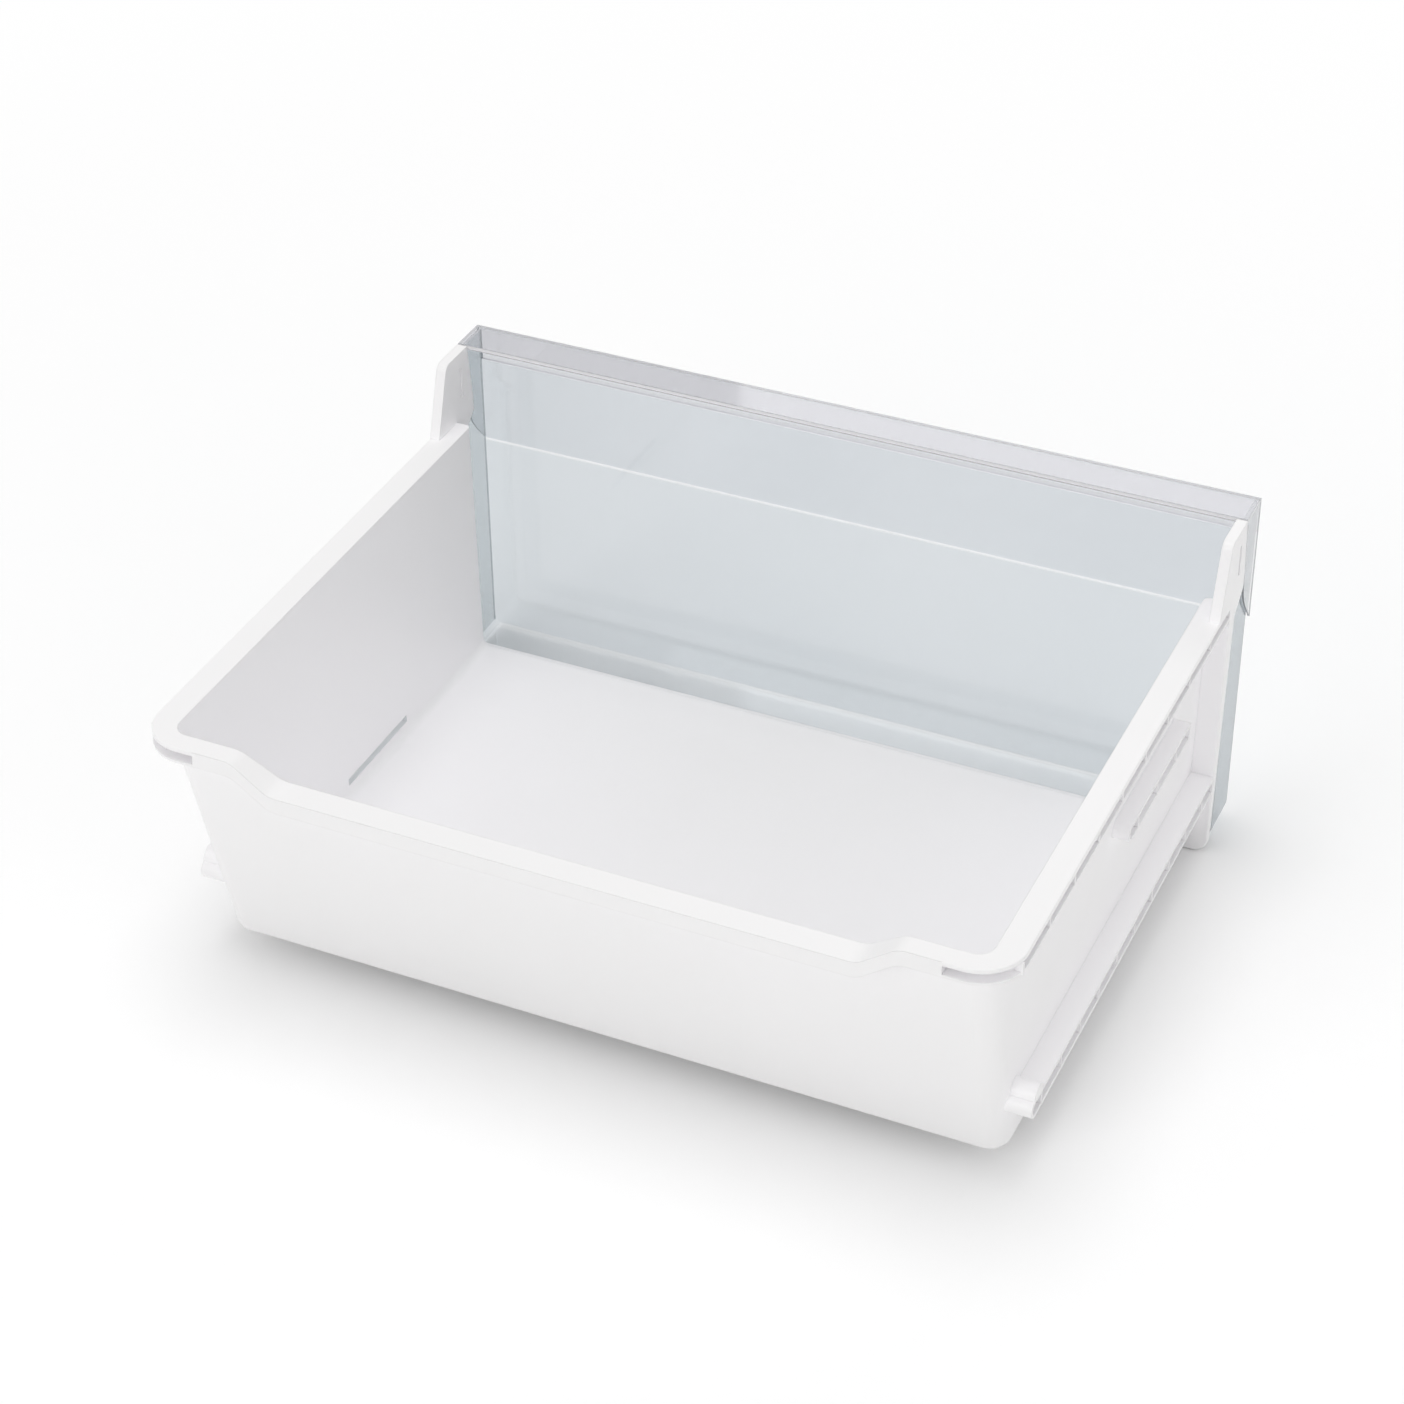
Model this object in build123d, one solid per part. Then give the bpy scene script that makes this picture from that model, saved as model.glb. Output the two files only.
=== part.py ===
from build123d import *
import os
from math import radians, tan

# Freezer drawer: a white tub with an open front, a clear panel that closes the front, and a clear
# hood over the panel's top edge. Millimetres. The front faces -Y, Z = 0 is the plane that the
# drawer stands on, and X = 0, Y = 0 is the middle of its plan.

# Overall size
overall_width = 430.0
overall_depth = 346.6
rim_height = 152.5
hood_rise = 38.6

# Tub shell
wall = 3.0
floor_thickness = 2.5
floor_rise = 12.0
side_draft = 0.7
back_slope = 13.7
opening_corner = 8.0
floor_fillet = 4.5
base_fillet = 5.0
sill_round = 3.0

# Rim: a channel that opens outwards along the sides and round the rear corners
rim_side_width = 13.7
rim_back_width = 10.5
rim_corner = 22.0
rim_flange = 2.2
rim_channel = 8.5
rim_lower_flange = 1.5
rim_rib_pitch = 32.5
rim_rib_margin = 16.0
rim_edge_round = 0.7
rib = 1.5

# Scoop in the back rim, with a closed skirt in place of the channel
scoop_depth = 14.0
scoop_low_half = 145.0
scoop_run = 19.0
scoop_radius = 11.0
skirt_run = 20.0
skirt = 2.2

# Runners on each side wall
runner_height = 9.5
runner_nose = 4.5
runner_flange = 1.6
runner_web = 1.0
upper_runner_drop = 42.0
upper_runner_front = 83.6
upper_runner_length = 92.0
upper_runner_inset = 2.8
upper_rib_pitch = 28.0
lower_runner_drop = 104.0
lower_runner_length = 266.5
lower_rib_pitch = 26.1
stop_bump_radius = 5.5
stop_bump_inset = 9.0

# Drain slot low in each side wall
slot_length = 62.0
slot_height = 4.0
slot_rise = 8.0
slot_front = 127.6

# Front frame of the tub
frame_setback = 40.1
frame_plate = 2.5
frame_corner = 8.0
lip_depth_high = 10.0
lip_depth_low = 3.0
lip = 2.5
frame_round = 1.2
spigot_depth = 14.0
spigot = 2.0

# Ears that carry the hood
ear = 5.5
ear_foot_run = 17.5
ear_lean_run = 12.0
ear_corner = 5.0
ear_drop = 12.0
ear_heel = 2.0
ear_top_gap = 0.2
ear_slot_width = 2.4
ear_slot_length = 17.0
ear_slot_rise = 12.0
ear_slot_setback = 30.6

# Clear front panel
panel = 1.8
panel_inset = 1.3
panel_rise = 20.0
panel_round = 2.2
fit_gap = 0.3

# Clear grip hood
hood_top = 2.4
hood_leg = 1.0
hood_cap = 1.0
hood_depth = 22.4
hood_leg_drop = 31.0
hood_cap_lean = 3.8
hood_cap_straight = 32.0
# Swept lower edge of an end cap: distance behind the front face, drop below the rim
hood_cap_sweep = [(17.8, 3.0), (14.8, 12.0), (6.8, 23.0)]

half_width = overall_width / 2
front_y = -overall_depth / 2
back_y = overall_depth / 2
floor_top = floor_rise + floor_thickness
frame_y = front_y + frame_setback
frame_front_y = frame_y - frame_plate
scoop_top_half = scoop_low_half + scoop_run
skirt_half = scoop_top_half + skirt_run
hood_z = rim_height + hood_rise
hood_rear_y = front_y + hood_depth
knee_y = hood_rear_y - hood_cap_lean
knee_z = hood_z - hood_cap_straight
ear_low_z = rim_height - ear_drop
ear_heel_z = rim_height - ear_heel

# Overrun of the cutting shapes and the tolerance for picking edges
above_rim = 60.0
ahead_of_frame = 30.0
near = 0.01

corner_low = (Align.MIN, Align.MIN, Align.MIN)


def block(x_range, y_range, z_range):
    """A box between two corners given as ranges."""
    size = [high - low for low, high in (x_range, y_range, z_range)]
    start = [low for low, high in (x_range, y_range, z_range)]
    return Pos(*start) * Box(*size, align=corner_low)


def both_sides(solid):
    """A solid and its mirror image across the middle of the drawer."""
    return solid + mirror(solid, about=Plane.YZ)


def side_plane(x):
    """A plane at the given X whose axes run along Y and Z."""
    return Plane((x, 0, 0), x_dir=(0, 1, 0), z_dir=(1, 0, 0))


def inner_half_width(z):
    return half_width - rim_side_width - (rim_height - z) * tan(radians(side_draft))


def inner_back(z):
    return back_y - rim_back_width - (rim_height - z) * tan(radians(back_slope))


def lip_front_y(z):
    """Front edge of the frame's lip, which gets deeper towards the rim."""
    return frame_y - lip_depth_low - (lip_depth_high - lip_depth_low) * z / rim_height


def forwards(face, rear_y, depth):
    """Extrude an XZ face forwards from a plane at the given Y."""
    return extrude(Plane((0, rear_y, 0), x_dir=(1, 0, 0), z_dir=(0, -1, 0)) * face, depth)


def across(points):
    """A side view polygon extruded over the drawer's whole width."""
    return extrude(Plane.YZ * make_face(Polyline(*points, close=True)), half_width, both=True)


def drafted_body(offset_out, low_z, high_z, corner, low_round):
    """The tub's tapering form, run on past the frame, with rounded rear corners and low edges."""
    start_y = frame_front_y - ahead_of_frame
    low_half, high_half = [inner_half_width(z) + offset_out for z in (low_z, high_z)]
    low_back, high_back = [inner_back(z) + offset_out for z in (low_z, high_z)]
    end_view = [(-low_half, low_z), (low_half, low_z), (high_half, high_z), (-high_half, high_z)]
    side_view = [(start_y, low_z), (low_back, low_z), (high_back, high_z), (start_y, high_z)]
    body = forwards(make_face(Polyline(*end_view, close=True)), high_back, high_back - start_y)
    body &= across(side_view)
    upright = body.edges().filter_by(lambda edge: low_z + near < edge.center().Z < high_z - near)
    body = fillet(upright.filter_by(lambda edge: edge.center().Y > 0), corner)
    low_edges = body.edges().group_by(Axis.Z)[0]
    return fillet(low_edges.filter_by(lambda edge: edge.center().Y > start_y + near), low_round)


def scoop_band(half, height):
    """A band of the given height under the scooped rim line, drawn in the XZ plane."""

    def rim_line(shift):
        points = [(-half, 0), (-scoop_top_half, 0), (-scoop_low_half, -scoop_depth)]
        points += [(-x, z) for x, z in reversed(points)]
        return FilletPolyline(*[(x, z + shift) for x, z in points], radius=scoop_radius)

    top = rim_line(0)
    bottom = rim_line(-height)
    ends = [Line((side * half, 0), (side * half, -height)) for side in (-1, 1)]
    return make_face(Curve() + [top, bottom] + ends)


def at_back(face, depth):
    """Extrude an XZ face of the back rim forwards from the rim's rear edge."""
    return extrude(Plane((0, back_y, rim_height), x_dir=(1, 0, 0), z_dir=(0, -1, 0)) * face, depth)


def rim_ring(z, thickness):
    """A flat flange at height z, from the front frame round the rounded rear corners."""
    outline = Rectangle(2 * half_width, back_y - frame_front_y, align=(Align.CENTER, Align.MIN))
    outline = fillet(outline.vertices().group_by(Axis.Y)[-1], rim_corner)
    return extrude(Pos(0, frame_front_y, z) * outline, thickness)


def places(first, last, pitch):
    """Places from first back towards last, a pitch apart."""
    count = int((first - last) / pitch) + 1
    return [first - index * pitch for index in range(count)]


def make_rim():
    """Rim with its outward channel, cross ribs, scooped back edge and skirt."""
    flange_z = rim_height - rim_flange
    channel_z = rim_height - rim_channel
    top = rim_ring(flange_z, rim_flange)
    top_edges = top.faces().sort_by(Axis.Z)[-1].edges()
    outer_edges = top_edges.filter_by(lambda edge: edge.center().Y > frame_front_y + near)
    top = fillet(outer_edges, rim_edge_round)
    lower = rim_ring(channel_z, rim_lower_flange)
    lower -= block((-skirt_half, skirt_half), (0, back_y), (channel_z, flange_z))
    rim = top + lower
    rib_x = (half_width - rim_side_width, half_width)
    for y in places(back_y - rim_rib_margin, frame_y, rim_rib_pitch):
        rim += both_sides(block(rib_x, (y - rib / 2, y + rib / 2), (channel_z, flange_z)))
    rim -= at_back(scoop_band(skirt_half, -above_rim), rim_back_width + wall + scoop_depth)
    rim += at_back(scoop_band(skirt_half, rim_flange), rim_back_width + scoop_depth)
    rim += at_back(scoop_band(skirt_half, rim_channel), skirt)
    end_x = (skirt_half - skirt, skirt_half)
    return rim + both_sides(block(end_x, (back_y - rim_back_width, back_y), (channel_z, rim_height)))


def make_runner(front, length, drop, pitch, outer_x):
    """One runner: a channel that opens outwards, with a round rear end and cross ribs."""
    top_z = rim_height - drop
    low_z = top_z - runner_height
    root_x = inner_half_width(top_z) + wall / 2
    web_x = inner_half_width(top_z) + wall + runner_web
    outline = Rectangle(length, runner_height, align=(Align.MIN, Align.MIN))
    outline = fillet(outline.vertices().group_by(Axis.X)[-1], runner_nose)
    outline = Pos(front, low_z) * outline
    body = extrude(side_plane(root_x) * outline, outer_x - root_x)
    body -= extrude(side_plane(web_x) * offset(outline, -runner_flange), outer_x - web_x)
    for y in places(front + length - pitch / 2, front, pitch):
        body += block((web_x, outer_x), (y - rib / 2, y + rib / 2), (low_z, top_z))
    return body


def make_stop_bump():
    """Rounded stop on top of the lower runner, just before its rear end."""
    top_z = rim_height - lower_runner_drop
    y = frame_y + lower_runner_length - stop_bump_inset
    root_x = inner_half_width(top_z) + wall / 2
    outline = Pos(y, top_z) * Circle(stop_bump_radius)
    outline &= Pos(y, top_z - runner_flange) * Rectangle(
        2 * stop_bump_radius, 2 * stop_bump_radius, align=(Align.CENTER, Align.MIN)
    )
    return extrude(side_plane(root_x) * outline, half_width - root_x)


def frame_outline(inset, high_z):
    """The front frame's outline in the XZ plane, with its two lower corners rounded."""
    outline = Rectangle(2 * (half_width - inset), high_z - inset, align=(Align.CENTER, Align.MIN))
    outline = fillet(outline.vertices().group_by(Axis.Y)[0], frame_corner - inset)
    return Pos(0, inset) * outline


def frame_channel(inset, thickness, depth, high_z):
    """A U-shaped strip that follows the front frame, open at its top."""
    strip = frame_outline(inset, high_z) - frame_outline(inset + thickness, high_z + thickness)
    return forwards(strip, frame_y, depth)


def make_frame():
    """Front frame: a flange round the open front, a tapering lip and a spigot for the panel."""
    plate = forwards(frame_outline(0, rim_height), frame_y, frame_plate)
    rear_edges = plate.faces().sort_by(Axis.Y)[-1].edges()
    plate = fillet(rear_edges.filter_by(lambda edge: edge.center().Z < rim_height - near), frame_round)
    lip_side = [
        (frame_front_y, 0),
        (lip_front_y(0), 0),
        (lip_front_y(rim_height), rim_height),
        (frame_front_y, rim_height),
    ]
    frame_lip = frame_channel(0, lip, lip_depth_high, rim_height - rim_flange) & across(lip_side)
    seat = frame_channel(panel_inset + panel + fit_gap, spigot, spigot_depth, ear_low_z)
    return plate + frame_lip + seat


def make_ear():
    """One ear: a plate above the rim that leans forward to the hood, with an upright slot."""
    top_z = hood_z - ear_top_gap
    foot_y = frame_y + ear_foot_run
    points = [
        (foot_y, rim_height - rim_flange),
        (foot_y, rim_height),
        (foot_y - ear_lean_run, top_z),
        (hood_rear_y + fit_gap, top_z),
        (knee_y + fit_gap, knee_z),
        (knee_y + fit_gap, ear_heel_z),
        (lip_front_y(ear_low_z), ear_low_z),
        (frame_y, ear_low_z),
        (frame_y, rim_height - rim_flange),
    ]
    outline = make_face(Polyline(*points, close=True))
    top_corners = outline.vertices().group_by(Axis.Y)[-1]
    outline = fillet(top_corners.sort_by(Axis.X)[-1:], ear_corner)
    plate = extrude(side_plane(half_width - ear) * outline, ear)
    slot_y = front_y + ear_slot_setback
    slot_z = rim_height + ear_slot_rise
    return plate - block(
        (half_width - ear, half_width),
        (slot_y - ear_slot_width / 2, slot_y + ear_slot_width / 2),
        (slot_z, slot_z + ear_slot_length),
    )


def make_drain_slot():
    """Cutting shape for the drain slot low in one side wall."""
    slot_z = floor_top + slot_rise - slot_height / 2
    slot_y = front_y + slot_front
    wall_x = inner_half_width(0) - wall
    return block((wall_x, half_width), (slot_y, slot_y + slot_length), (slot_z, slot_z + slot_height))


def make_hollow():
    """The tub's inside as a cutting shape that rounds outwards where it meets the open front."""
    high_z = rim_height + above_rim
    inside = drafted_body(0, floor_top, high_z, opening_corner, floor_fillet)
    front_run = (frame_front_y - ahead_of_frame, frame_front_y)
    inside += block((-half_width, half_width), front_run, (0, high_z))

    def on_sill(edge):
        middle = edge.center()
        on_front = abs(middle.Y - frame_front_y) < near
        return on_front and abs(middle.X) < half_width - near and near < middle.Z < high_z - near

    inside = fillet(inside.edges().filter_by(on_sill), sill_round)
    return inside & block((-half_width, half_width), (frame_front_y, back_y), (0, high_z))


def make_drawer_tub():
    shell = drafted_body(wall, floor_rise, rim_height, opening_corner + wall, base_fillet)
    shell &= block((-half_width, half_width), (frame_front_y, back_y), (0, rim_height))
    shell -= at_back(scoop_band(skirt_half, -above_rim), rim_back_width + wall + scoop_depth)
    upper_y = front_y + upper_runner_front
    upper_x = half_width - upper_runner_inset
    upper = make_runner(upper_y, upper_runner_length, upper_runner_drop, upper_rib_pitch, upper_x)
    lower = make_runner(frame_y, lower_runner_length, lower_runner_drop, lower_rib_pitch, half_width)
    tub = shell + make_rim() + make_frame()
    tub += both_sides(upper + lower + make_stop_bump() + make_ear())
    return tub - make_hollow() - both_sides(make_drain_slot())


def make_front_panel():
    """Clear tray: front plate, bottom and two taller end walls that fit over the frame's spigot."""
    plate_y = front_y + hood_leg + fit_gap
    inner_y = plate_y + panel
    rear_y = lip_front_y(0) - fit_gap
    high_z = hood_z - hood_top - fit_gap
    outer = forwards(frame_outline(panel_inset, high_z), rear_y, rear_y - plate_y)
    front_edges = outer.faces().sort_by(Axis.Y)[0].edges()
    outer = fillet(front_edges.filter_by(lambda edge: edge.center().Z < high_z - near), panel_round)
    inner = forwards(frame_outline(panel_inset + panel, high_z + panel), rear_y, rear_y - inner_y)
    behind_panel = [
        (lip_front_y(0) - fit_gap, 0),
        (lip_front_y(ear_low_z) - fit_gap, ear_low_z - fit_gap),
        (knee_y, ear_heel_z - fit_gap),
        (knee_y, knee_z),
        (hood_rear_y, hood_z),
        (frame_y, hood_z),
        (frame_y, 0),
    ]
    tray = outer - inner - across(behind_panel)
    plate_half = half_width - panel_inset - panel
    return tray - block((-plate_half, plate_half), (front_y, inner_y), (rim_height + panel_rise, hood_z))


def make_grip_hood():
    """Clear hood: top ledge, front leg and two end caps with a swept lower edge."""
    low_z = rim_height - hood_leg_drop
    sweep = [(front_y + back, rim_height - drop) for back, drop in hood_cap_sweep]
    side_view = Curve() + [
        Line((front_y, low_z), (front_y, hood_z)),
        Line((front_y, hood_z), (hood_rear_y, hood_z)),
        Line((hood_rear_y, hood_z), (knee_y, knee_z)),
        Spline((knee_y, knee_z), *sweep, (front_y, low_z)),
    ]
    outer = extrude(Plane.YZ * make_face(side_view), half_width, both=True)
    room_y = (front_y + hood_leg, hood_rear_y + hood_depth)
    room_x = half_width - hood_cap
    return outer - block((-room_x, room_x), room_y, (low_z - hood_top, hood_z - hood_top))


drawer_tub = make_drawer_tub()
front_panel = make_front_panel()
grip_hood = make_grip_hood()

os.makedirs("parts", exist_ok=True)
export_step(drawer_tub, "parts/drawer_tub.step")
export_step(front_panel, "parts/front_panel.step")
export_step(grip_hood, "parts/grip_hood.step")
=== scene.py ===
import math

import bpy
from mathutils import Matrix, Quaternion, Vector


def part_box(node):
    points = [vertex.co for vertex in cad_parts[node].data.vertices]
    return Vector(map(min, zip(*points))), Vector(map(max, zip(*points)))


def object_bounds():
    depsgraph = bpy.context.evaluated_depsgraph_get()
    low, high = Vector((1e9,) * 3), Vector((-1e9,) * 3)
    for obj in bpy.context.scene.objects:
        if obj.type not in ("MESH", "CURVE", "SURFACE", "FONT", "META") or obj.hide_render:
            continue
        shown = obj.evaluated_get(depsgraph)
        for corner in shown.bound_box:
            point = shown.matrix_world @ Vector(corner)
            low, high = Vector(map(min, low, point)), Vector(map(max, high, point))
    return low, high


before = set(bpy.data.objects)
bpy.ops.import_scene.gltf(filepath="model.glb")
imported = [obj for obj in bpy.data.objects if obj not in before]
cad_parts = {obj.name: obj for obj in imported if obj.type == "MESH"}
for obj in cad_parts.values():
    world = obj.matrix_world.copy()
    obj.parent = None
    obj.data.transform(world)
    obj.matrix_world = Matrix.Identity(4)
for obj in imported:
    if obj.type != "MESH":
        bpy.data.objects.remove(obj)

# Freezer drawer: satin white tub, clear front panel, clear grip hood. Metres.

cad_low, cad_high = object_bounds()

# Camera, at the photograph's viewing angle
camera_place = Vector((-0.5512, 1.2051, 1.0685))
camera_aim = Vector((0.02005, -0.0301, 0.095))
camera_roll = math.radians(-0.617)
camera_lens = 86.57
camera_sensor = 36.0

# Studio
pure_white = (1.0, 1.0, 1.0, 1.0)
ambient_level = 0.70
floor_size = 12.0
floor_drop = 0.0004
floor_colour = (0.97, 0.97, 0.97, 1.0)
floor_roughness = 0.9
fade_start = 0.45
fade_end = 1.3
lamps = (  # name, place, width, power in watts
    ("top", Vector((0.1, 0.0, 4.0)), 2.4, 36.0),
    ("key", Vector((0.6, 2.4, 1.3)), 1.6, 12.0),
    ("fill", Vector((-2.2, 0.6, 1.4)), 1.6, 4.0),
    ("front", Vector((0.3, -2.6, 1.6)), 1.6, 6.0),
)

# White plastic
white_light = (0.853, 0.846, 0.849, 1.0)
white_shade = (0.838, 0.833, 0.833, 1.0)
# Paler colour where the tub is enclosed: painted light for light that comes through its thin
# walls
enclosed_painted_light = (0.970, 0.960, 0.974, 1.0)
# Greyer colour on the inner faces of the drain slots: painted shade
slot_painted_shade = (0.75, 0.77, 0.79, 1.0)
enclosed_reach = 0.25
enclosed_sharpness = 3.0
enclosed_samples = 8
edge_softness = 0.0006
edge_samples = 4
white_roughness = (0.31, 0.42)
white_ior = 1.5

# Clear plastic
panel_light = (0.735, 0.768, 0.793, 1.0)
panel_shade = (0.705, 0.742, 0.768, 1.0)
# Deeper tint in the panel's end walls: painted shade
panel_end_painted_shade = (0.53, 0.575, 0.60, 1.0)
# Paler tint at the panel's foot: painted light against the shadow seen through it
panel_foot_painted_light = (0.80, 0.815, 0.825, 1.0)
# Grey band on the panel's top edge face: painted shade
panel_edge_painted_shade = (0.62, 0.62, 0.65, 1.0)
hood_light = (0.990, 0.990, 0.995, 1.0)
hood_shade = (0.975, 0.975, 0.982, 1.0)
hood_leg_tint = (0.69, 0.70, 0.725, 1.0)
hood_top_tint = (0.80, 0.795, 0.82, 1.0)
hood_cap_tint = (0.93, 0.935, 0.945, 1.0)
# Deep tint at the front corners of both clear pieces: painted shade for their dark outline
corner_painted_shade = (0.22, 0.25, 0.27, 1.0)
# Edge colours, on opaque edge faces of the clear pieces: a painted highlight
edge_painted_highlight = (0.95, 0.95, 0.955, 1.0)
# A painted pale band of light
edge_painted_light = (0.78, 0.775, 0.79, 1.0)
# Painted shade lines
edge_painted_shade = (0.34, 0.35, 0.37, 1.0)
grazing_tint = (0.30, 0.33, 0.36, 1.0)
grazing_blend = 0.5
grazing_sharpness = 6.0
guided_light = (0.60, 0.605, 0.62, 1.0)
guided_depth = 2.5
shadow_gamma = 0.5
clear_roughness = (0.015, 0.05)
clear_ior = 1.57

# Clouding, uneven gloss and waves, in features per metre
white_cloud_scale = 7.0
white_gloss_scale = 40.0
white_wave_scale = 9.0
white_wave_strength = 0.10
clear_cloud_scale = 5.0
clear_gloss_scale = 30.0
clear_wave_scale = 6.0
clear_wave_strength = 0.05
clear_wave_stretch = (1.0, 1.0, 2.5)
no_stretch = (1.0, 1.0, 1.0)
cloud_detail = 2.0
gloss_detail = 4.0
wave_detail = 1.0
wave_height = 0.002
noise_low = 0.3
noise_high = 0.7

# Inside of the drain slots, where shade is painted
slot_low = 0.0203
slot_high = 0.0247
slot_front = -0.0459
slot_rear = 0.0165
slot_side = 0.15

# Places on the clear pieces
panel_plate_top = 0.1725
panel_floor_top = 0.0035
panel_rear = -0.1702
# Height of a painted highlight line across the panel at the hood's lower edge
hood_line_low = 0.1227
hood_line_high = 0.1238
hood_top_thickness = 0.0024
hood_cap_thickness = 0.001
line_width = 0.0007
fine_line = 0.0004
corner_line = 0.0026
hood_corner_line = 0.0018
corner_depth = 0.0008
skin = 0.0002

# How far a face looks along an axis, where 1 is straight along it
straight = 0.9
mostly = 0.7
partly = 0.5


class Nodes:
    """A node tree with short calls for adding and joining nodes."""

    def __init__(self, tree):
        self.tree = tree

    def add(self, kind, **settings):
        """A new node, with settings for its input sockets and its properties."""
        node = self.tree.nodes.new(kind)
        for key, value in settings.items():
            if key in node.inputs:
                node.inputs[key].default_value = value
            else:
                setattr(node, key, value)
        return node

    def join(self, source, target):
        self.tree.links.new(source, target)

    def math(self, operation, first, second=None):
        """A sum on one or two values, each a number or another node's output."""
        node = self.add("ShaderNodeMath", operation=operation)
        for socket, value in zip(node.inputs, (first, second)):
            if isinstance(value, float):
                socket.default_value = value
            elif value is not None:
                self.join(value, socket)
        return node.outputs["Value"]

    def size(self, value):
        """A value without its sign."""
        return self.math("ABSOLUTE", value)

    def over(self, value, limit):
        """1 where a value is over a limit, otherwise 0."""
        return self.math("GREATER_THAN", value, limit)

    def under(self, value, limit):
        """1 where a value is under a limit, otherwise 0."""
        return self.math("LESS_THAN", value, limit)

    def every(self, *masks):
        """1 only where all the masks are 1."""
        product = masks[0]
        for mask in masks[1:]:
            product = self.math("MULTIPLY", product, mask)
        return product

    def between(self, value, low, high):
        """1 where a value lies between two limits, otherwise 0."""
        return self.every(self.over(value, low), self.under(value, high))

    def ramp(self, value, start, end, low=0.0, high=1.0, form="LINEAR"):
        """A value's range from start to end, stretched to the range from low to high."""
        ramp = self.add("ShaderNodeMapRange", interpolation_type=form)
        limits = {"From Min": start, "From Max": end, "To Min": low, "To Max": high}
        for name, limit in limits.items():
            ramp.inputs[name].default_value = limit
        self.join(value, ramp.inputs["Value"])
        return ramp.outputs["Result"]

    def split(self, vector):
        """A vector's X, Y and Z."""
        parts = self.add("ShaderNodeSeparateXYZ")
        self.join(vector, parts.inputs["Vector"])
        return parts.outputs

    def blend(self, factor, first, second):
        """Two colours, each a fixed colour or another node's output, mixed by a factor."""
        mix = self.add("ShaderNodeMix", data_type="RGBA")
        slots = [socket for socket in mix.inputs if socket.type == "RGBA"]
        for socket, colour in zip(slots, (first, second)):
            if isinstance(colour, tuple):
                socket.default_value = colour
            else:
                self.join(colour, socket)
        self.join(factor, mix.inputs["Factor"])
        return next(socket for socket in mix.outputs if socket.type == "RGBA")

    def mix_shader(self, factor, first, second):
        mix = self.add("ShaderNodeMixShader")
        for source, socket in zip((factor, first, second), mix.inputs):
            self.join(source, socket)
        return mix.outputs["Shader"]

    def seen(self):
        """1 for rays that see a surface directly, mirrored or through the clear plastic."""
        path = self.add("ShaderNodeLightPath").outputs
        direct = self.math("MAXIMUM", path["Is Camera Ray"], path["Is Glossy Ray"])
        return self.math("MAXIMUM", direct, path["Is Transmission Ray"])


class Surface(Nodes):
    """A new material, with the place of each of its points and where it faces."""

    def __init__(self, name):
        self.material = bpy.data.materials.new(name)
        self.material.use_nodes = True
        super().__init__(self.material.node_tree)
        self.shader = self.tree.nodes["Principled BSDF"]
        self.output = self.tree.nodes["Material Output"]
        self.place = self.add("ShaderNodeTexCoord").outputs["Object"]
        self.at = self.split(self.place)
        self.facing = self.split(self.add("ShaderNodeNewGeometry").outputs["True Normal"])

    def noise(self, scale, detail, stretch=no_stretch):
        """Noise over the object's own coordinates, in features per metre."""
        mapping = self.add("ShaderNodeMapping", Scale=stretch)
        self.join(self.place, mapping.inputs["Vector"])
        noise = self.add("ShaderNodeTexNoise", Scale=scale, Detail=detail)
        self.join(mapping.outputs["Vector"], noise.inputs["Vector"])
        return noise.outputs["Fac"]

    def clouds(self, scale, light, shade):
        """A colour that drifts between a lighter and a darker one."""
        noise = self.noise(scale, cloud_detail)
        return self.blend(self.ramp(noise, noise_low, noise_high), light, shade)

    def gloss(self, scale, limits):
        """Uneven roughness between two limits."""
        noise = self.noise(scale, gloss_detail)
        roughness = self.ramp(noise, noise_low, noise_high, *limits)
        self.join(roughness, self.shader.inputs["Roughness"])

    def waves(self, scale, strength, stretch=no_stretch, normal=None):
        """Slow waves in the surface, over another normal if one is given."""
        bump = self.add("ShaderNodeBump", Strength=strength, Distance=wave_height)
        self.join(self.noise(scale, wave_detail, stretch), bump.inputs["Height"])
        if normal is not None:
            self.join(normal, bump.inputs["Normal"])
        self.join(bump.outputs["Normal"], self.shader.inputs["Normal"])


def white_plastic():
    """Satin moulded plastic: faint clouding, soft edges, painted shade inside the drain slots,
    and
    painted light where it is enclosed: a paler colour there stands in for light that comes
    through its thin walls."""
    n = Surface("white_plastic")
    clouds = n.clouds(white_cloud_scale, white_light, white_shade)
    # Painted light: the colour turns paler where the tub encloses itself
    open_air = n.add(
        "ShaderNodeAmbientOcclusion",
        samples=enclosed_samples,
        only_local=True,
        Distance=enclosed_reach,
    )
    openness = n.math("POWER", open_air.outputs["AO"], enclosed_sharpness)
    colour = n.blend(openness, enclosed_painted_light, clouds)
    # Painted shade: the inner faces of the drain slots turn greyer
    in_slot = n.every(
        n.under(n.size(n.facing["X"]), partly),
        n.over(n.size(n.at["X"]), slot_side),
        n.between(n.at["Y"], slot_front, slot_rear),
        n.between(n.at["Z"], slot_low, slot_high),
    )
    n.join(n.blend(in_slot, colour, slot_painted_shade), n.shader.inputs["Base Color"])
    n.gloss(white_gloss_scale, white_roughness)
    edges = n.add("ShaderNodeBevel", samples=edge_samples, Radius=edge_softness)
    n.waves(white_wave_scale, white_wave_strength, normal=edges.outputs["Normal"])
    n.shader.inputs["IOR"].default_value = white_ior
    return n.material


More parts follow.
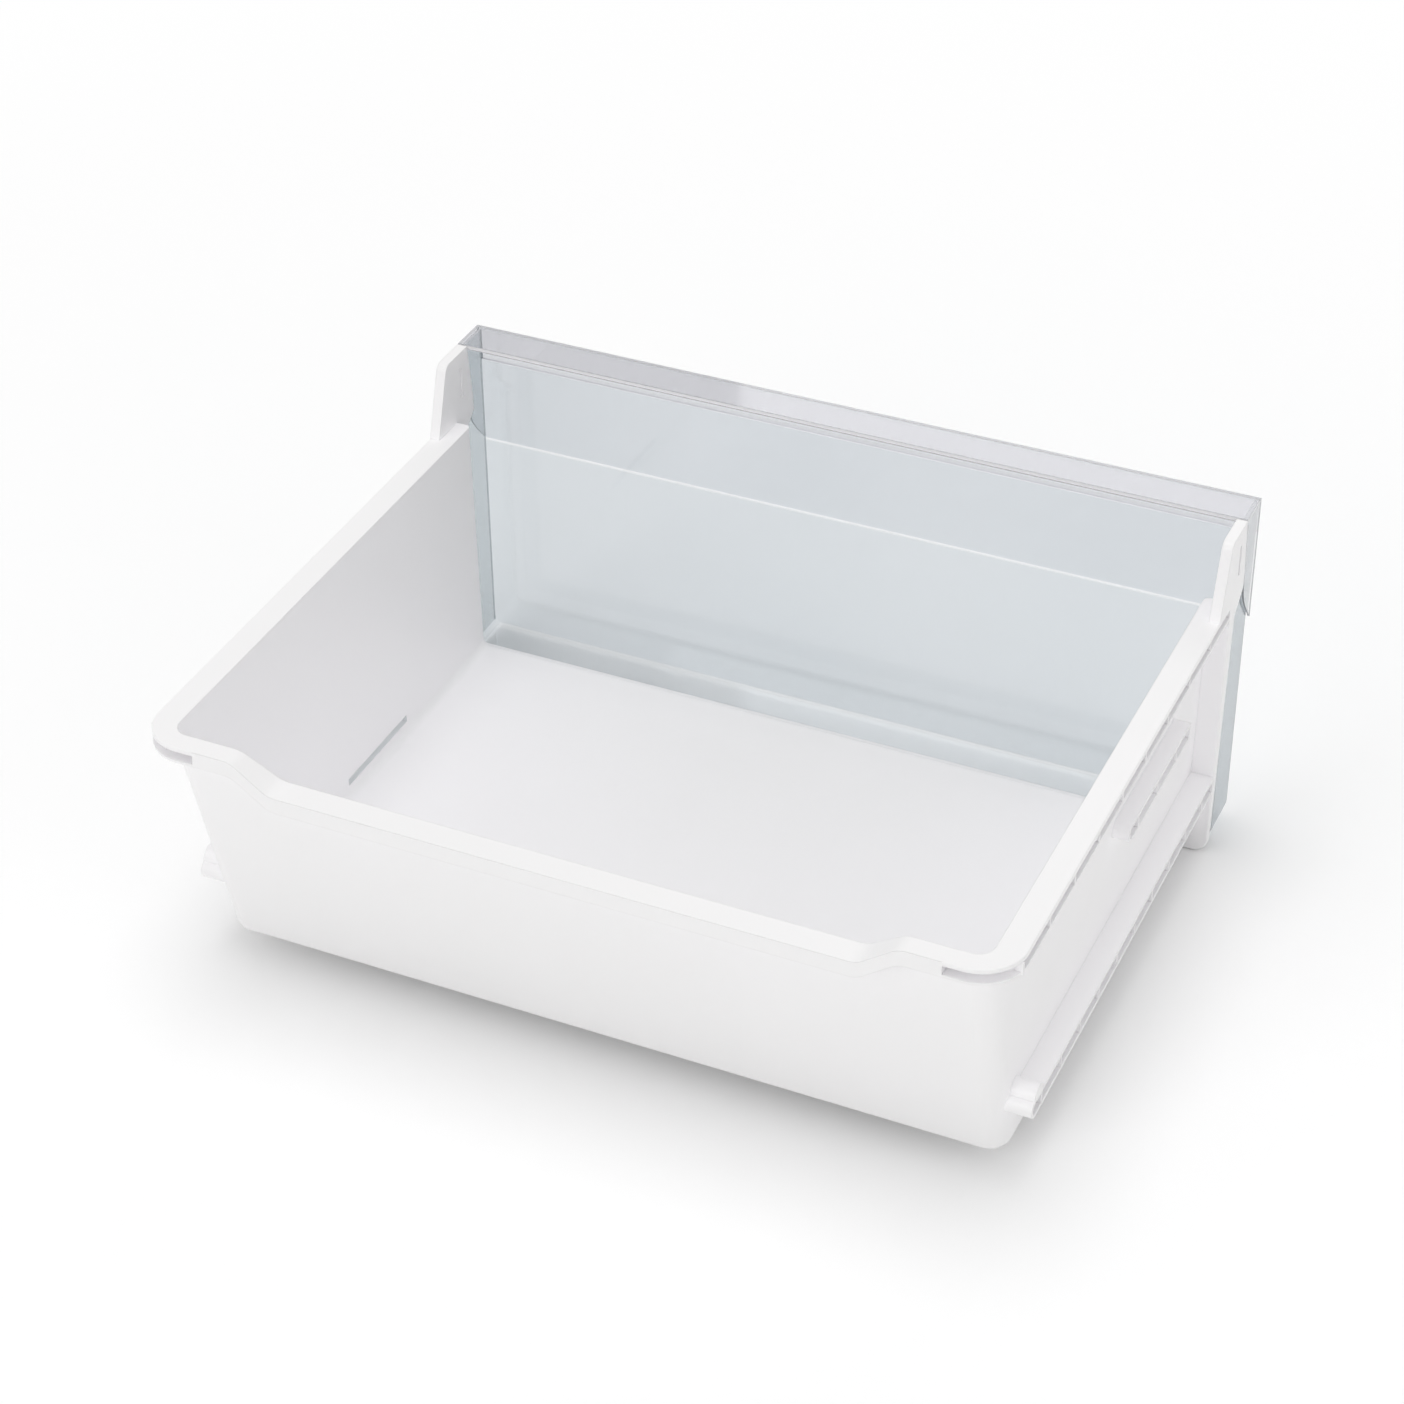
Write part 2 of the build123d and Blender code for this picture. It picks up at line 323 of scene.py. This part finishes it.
class Clear(Surface):
    """Clear moulded plastic: polished and slightly wavy, deeper in tone at a grazing angle."""

    def __init__(self, name, light, shade):
        super().__init__(name)
        self.tint = self.clouds(clear_cloud_scale, light, shade)
        self.painted_opaque = None

    def sideways(self):
        """1 on faces that look to the left or right."""
        return self.over(self.size(self.facing["X"]), straight)

    def paint(self, mask, colour):
        """Faces under a mask take another tint and stay clear."""
        self.tint = self.blend(mask, self.tint, colour)

    def edge(self, mask, colour):
        """Faces under a mask are not see-through and take a flat colour, painted light or
        painted shade along an edge.
        """
        self.paint(mask, colour)
        if self.painted_opaque is None:
            self.painted_opaque = mask
        else:
            self.painted_opaque = self.math("MAXIMUM", self.painted_opaque, mask)

    def finish(self):
        """The finished material. Light that is guided inside for many bounces comes out pale
        grey, and shadows get the tint of one face, the root of a whole plate's tint."""
        rim = self.add("ShaderNodeLayerWeight", Blend=grazing_blend)
        depth = self.math("POWER", rim.outputs["Facing"], grazing_sharpness)
        see_through = self.math("SUBTRACT", 1.0, self.painted_opaque)
        tint = self.blend(self.every(depth, see_through), self.tint, grazing_tint)
        self.join(tint, self.shader.inputs["Base Color"])
        self.join(see_through, self.shader.inputs["Transmission Weight"])
        self.shader.inputs["IOR"].default_value = clear_ior
        self.gloss(clear_gloss_scale, clear_roughness)
        self.waves(clear_wave_scale, clear_wave_strength, clear_wave_stretch)
        path = self.add("ShaderNodeLightPath").outputs
        guided = self.add("ShaderNodeEmission", Color=guided_light).outputs["Emission"]
        deep = self.over(path["Glossy Depth"], guided_depth)
        surface = self.mix_shader(deep, self.shader.outputs["BSDF"], guided)
        face_tint = self.add("ShaderNodeGamma", Gamma=shadow_gamma)
        self.join(self.tint, face_tint.inputs["Color"])
        clear = self.add("ShaderNodeBsdfTransparent")
        self.join(face_tint.outputs["Color"], clear.inputs["Color"])
        surface = self.mix_shader(path["Is Shadow Ray"], surface, clear.outputs["BSDF"])
        self.join(surface, self.output.inputs["Surface"])
        return self.material


def panel_plastic():
    """Blue-grey clear plastic, with painted shade as a deeper tint in its end walls and at its
    front corners, painted light as a paler tint at its foot, a top edge on the front plate
    painted as an opaque shaded band with a painted highlight at its rear, and an untinted line
    across the plate at the hood's lower edge, a painted highlight."""
    low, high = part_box("front_panel")
    n = Clear("panel_clear", panel_light, panel_shade)
    # Painted shade: a deeper tint on the end walls
    n.paint(n.sideways(), panel_end_painted_shade)
    # Painted light: a paler tint at the foot
    n.paint(n.under(n.at["Z"], panel_floor_top), panel_foot_painted_light)
    # Painted shade on the plate's top edge face, with a painted highlight along its rear
    top_edge = n.every(
        n.over(n.facing["Z"], mostly),
        n.between(n.at["Z"], panel_plate_top - skin, panel_plate_top + skin),
    )
    n.edge(top_edge, panel_edge_painted_shade)
    # Painted highlight: a bright strip along the rear of the top edge
    n.edge(n.every(top_edge, n.over(n.at["Y"], panel_rear - fine_line)), edge_painted_highlight)
    # Painted highlight: the tint drops out in a line at the hood's lower edge
    painted_highlight_line = n.every(
        n.over(n.size(n.facing["Y"]), straight),
        n.between(n.at["Z"], hood_line_low, hood_line_high),
    )
    n.paint(painted_highlight_line, pure_white)
    # Painted shade: a deep tint at the front corners
    at_end = n.over(n.size(n.at["X"]), high.x - corner_depth)
    at_front = n.under(n.at["Y"], low.y + corner_line)
    n.paint(n.every(at_end, at_front), corner_painted_shade)
    return n.finish()


def hood_plastic():
    """Clear plastic, greyer in its thick top, its leg above the panel and its end caps, with
    painted shade at its front corners and opaque edges: a painted highlight at the top's
    front, a painted shade line and a painted pale band of light at its rear, and painted shade
    lines under the caps."""
    low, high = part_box("grip_hood")
    n = Clear("hood_clear", hood_light, hood_shade)
    in_top = n.over(n.at["Z"], high.z - hood_top_thickness - skin)
    behind_leg = n.over(n.at["Y"], low.y + hood_top_thickness)
    n.paint(n.over(n.at["Z"], panel_plate_top - line_width), hood_leg_tint)
    n.paint(n.every(in_top, behind_leg), hood_top_tint)
    n.paint(n.sideways(), hood_cap_tint)
    # Painted shade: a deep tint at the front corners
    at_front = n.under(n.at["Y"], low.y + hood_corner_line)
    n.paint(n.every(n.sideways(), at_front), corner_painted_shade)
    # Painted shade: a dark line along the rear of the top
    rear_line = n.every(
        in_top,
        n.over(n.facing["Z"], straight),
        n.over(n.at["Y"], high.y - line_width),
    )
    n.edge(rear_line, edge_painted_shade)
    # Painted light: a pale band on the rear face of the top
    rear_face = n.every(
        n.over(n.facing["Y"], straight),
        n.over(n.at["Y"], high.y - skin),
    )
    n.edge(rear_face, edge_painted_light)
    # Painted highlight: a bright strip on the front face of the top
    n.edge(n.every(in_top, n.under(n.at["Y"], low.y + skin)), edge_painted_highlight)
    # Painted shade: dark lines at the edges under the caps
    cap_edge = n.every(
        n.over(n.size(n.at["X"]), high.x - hood_cap_thickness - skin),
        n.under(n.size(n.facing["X"]), partly),
        n.over(n.at["Y"], low.y + skin),
        n.under(n.at["Z"], high.z - hood_top_thickness),
    )
    n.edge(cap_edge, edge_painted_shade)
    return n.finish()


def wear(node_name, material):
    """Give a CAD node its material."""
    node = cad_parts[node_name]
    node.data.materials.clear()
    node.data.materials.append(material)


def make_world():
    """Even surroundings, full white where they are seen."""
    world = bpy.data.worlds.new("studio")
    bpy.context.scene.world = world
    world.use_nodes = True
    n = Nodes(world.node_tree)
    background = n.tree.nodes["Background"]
    background.inputs["Color"].default_value = pure_white
    level = n.ramp(n.seen(), 0.0, 1.0, ambient_level, 1.0)
    n.join(level, background.inputs["Strength"])


def make_floor():
    """Pale paper that keeps the shadow and fades into the white background further out."""
    bpy.ops.mesh.primitive_plane_add(
        size=floor_size, location=(0.0, 0.0, cad_low.z - floor_drop)
    )
    floor = bpy.context.object
    floor.name = "floor"
    n = Surface("floor_paper")
    n.shader.inputs["Base Color"].default_value = floor_colour
    n.shader.inputs["Roughness"].default_value = floor_roughness
    distance = n.add("ShaderNodeVectorMath", operation="LENGTH")
    n.join(n.place, distance.inputs["Vector"])
    fade = n.ramp(distance.outputs["Value"], fade_start, fade_end, form="SMOOTHSTEP")
    white = n.add("ShaderNodeEmission", Color=pure_white).outputs["Emission"]
    surface = n.mix_shader(n.every(fade, n.seen()), n.shader.outputs["BSDF"], white)
    n.join(surface, n.output.inputs["Surface"])
    floor.data.materials.append(n.material)


def stand(name, data, place, roll=0.0):
    """Put a lamp or the camera in its place, turned towards the drawer."""
    item = bpy.data.objects.new(name, data)
    item.location = place
    item.rotation_mode = "QUATERNION"
    level = (camera_aim - place).to_track_quat("-Z", "Y")
    item.rotation_quaternion = level @ Quaternion((0.0, 0.0, 1.0), roll)
    bpy.context.scene.collection.objects.link(item)
    return item


def make_lamp(name, place, width, power):
    data = bpy.data.lights.new(name, "AREA")
    data.shape = "DISK"
    data.size = width
    data.energy = power
    stand(name, data, place)


def make_camera():
    data = bpy.data.cameras.new("camera")
    data.lens = camera_lens
    data.sensor_width = camera_sensor
    camera = stand("camera", data, camera_place, camera_roll)
    bpy.context.scene.camera = camera


wear("drawer_tub", white_plastic())
wear("front_panel", panel_plastic())
wear("grip_hood", hood_plastic())
make_world()
make_floor()
for lamp in lamps:
    make_lamp(*lamp)
make_camera()
bpy.context.scene.view_settings.view_transform = "Standard"
